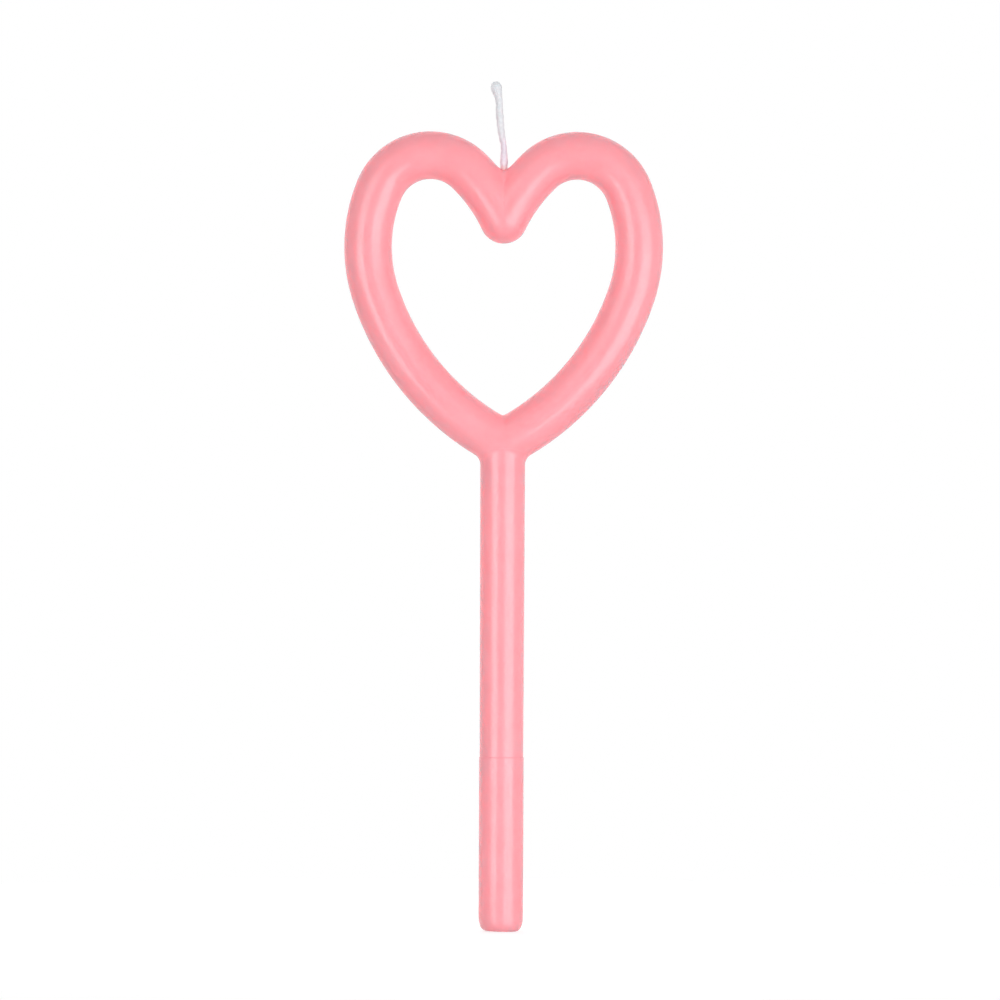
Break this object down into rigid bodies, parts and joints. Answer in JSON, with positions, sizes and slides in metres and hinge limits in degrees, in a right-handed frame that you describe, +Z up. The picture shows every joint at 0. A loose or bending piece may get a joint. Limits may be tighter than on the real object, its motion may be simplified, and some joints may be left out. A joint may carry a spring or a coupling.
{
  "type": "heart birthday candle",
  "caption": "Slim wax candle whose round rod forms an open heart on an upright stem, with a waxed wick standing in the cleft; the foot pushes into a cake or a candle holder.",
  "frame": {"origin": "middle of the flat end of the foot", "axes": "+Z up along the stem towards the wick, +X across the heart, +Y through the heart from its front to its back"},
  "size_m": [0.05, 0.0074, 0.1329],
  "materials": {
    "pink_wax": "satin, slightly translucent paraffin wax dyed pink",
    "cotton": "plaited bleached cotton",
    "clear_wax": "translucent white paraffin wax"
  },
  "bodies": {
    "root": {"heart": "pink_wax", "stem": "pink_wax", "foot": "pink_wax", "wick_core": "cotton", "wick_coat": "clear_wax"}
  },
  "joints": []
}
